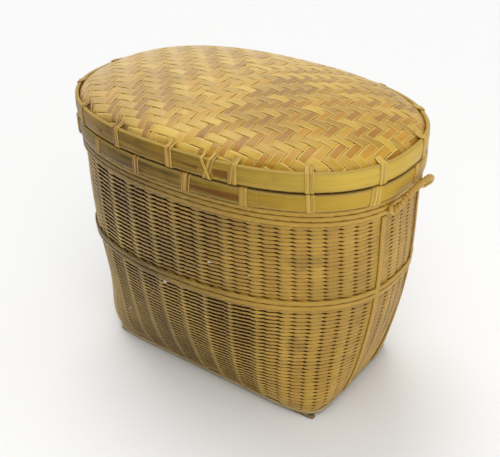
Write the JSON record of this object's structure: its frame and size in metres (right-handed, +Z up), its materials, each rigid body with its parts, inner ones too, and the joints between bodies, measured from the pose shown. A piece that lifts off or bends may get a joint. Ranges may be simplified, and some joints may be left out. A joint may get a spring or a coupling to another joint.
{
  "type": "lidded bamboo basket",
  "caption": "Lidded oval basket of woven split bamboo: square-cornered base, lashed hoop rim, domed twill lid that lifts off and a small cane handle at each end.",
  "frame": {"origin": "on the ground, at the middle of the bounding box's underside", "axes": "+X along the oval's long side towards one handle, +Y across its short side, +Z up"},
  "size_m": [0.4292, 0.2691, 0.3367],
  "materials": {
    "woven_splint": "dry, slightly uneven",
    "waling_cane": "satin",
    "bamboo_hoop": "smooth satin skin",
    "twill_mat": "satin, varnish-like sheen",
    "lashing_cane": "satin",
    "dark_splint": "dry, worn"
  },
  "bodies": {
    "body": {"front_runner": "dark_splint", "rear_runner": "dark_splint", "left_runner": "dark_splint", "right_runner": "dark_splint", "base_panel": "woven_splint", "base_border": "woven_splint", "stakes": "woven_splint", "lower_weave": "woven_splint", "middle_waling": "waling_cane", "upper_weave": "woven_splint", "top_waling": "waling_cane", "rim_outer_hoop": "bamboo_hoop", "rim_inner_hoop": "bamboo_hoop", "rim_collar": "bamboo_hoop", "right_handle": "lashing_cane", "left_handle": "lashing_cane", "right_eye_front": "lashing_cane", "right_eye_rear": "lashing_cane", "left_eye_front": "lashing_cane", "left_eye_rear": "lashing_cane", "right_leg_front": "waling_cane", "right_leg_rear": "waling_cane", "left_leg_front": "waling_cane", "left_leg_rear": "waling_cane", "rim_lashing_01": "lashing_cane", "rim_lashing_02": "lashing_cane", "rim_lashing_03": "lashing_cane", "rim_lashing_04": "lashing_cane", "rim_lashing_05": "lashing_cane", "rim_lashing_06": "lashing_cane", "rim_lashing_07": "lashing_cane", "rim_lashing_08": "lashing_cane", "rim_lashing_09": "lashing_cane", "rim_lashing_10": "lashing_cane", "rim_lashing_11": "lashing_cane", "rim_lashing_12": "lashing_cane", "rim_lashing_13": "lashing_cane", "rim_lashing_14": "lashing_cane", "rim_lashing_15": "lashing_cane", "rim_lashing_16": "lashing_cane", "rim_lashing_17": "lashing_cane"},
    "lid": {"lid_mat": "twill_mat", "lid_outer_hoop": "bamboo_hoop", "lid_inner_hoop": "bamboo_hoop", "lid_lap_binding": "lashing_cane", "lid_lashing_01": "lashing_cane", "lid_lashing_02": "lashing_cane", "lid_lashing_03": "lashing_cane", "lid_lashing_04": "lashing_cane", "lid_lashing_05": "lashing_cane", "lid_lashing_06": "lashing_cane", "lid_lashing_07": "lashing_cane", "lid_lashing_08": "lashing_cane", "lid_lashing_09": "lashing_cane", "lid_lashing_10": "lashing_cane", "lid_lashing_11": "lashing_cane", "lid_lashing_12": "lashing_cane", "lid_lashing_13": "lashing_cane", "lid_lashing_14": "lashing_cane", "lid_lashing_15": "lashing_cane"}
  },
  "joints": [
    {"name": "lid_lift", "type": "slide", "parent": "body", "child": "lid", "axis": [0, 0, 1], "range_m": [0, 0.12]}
  ]
}
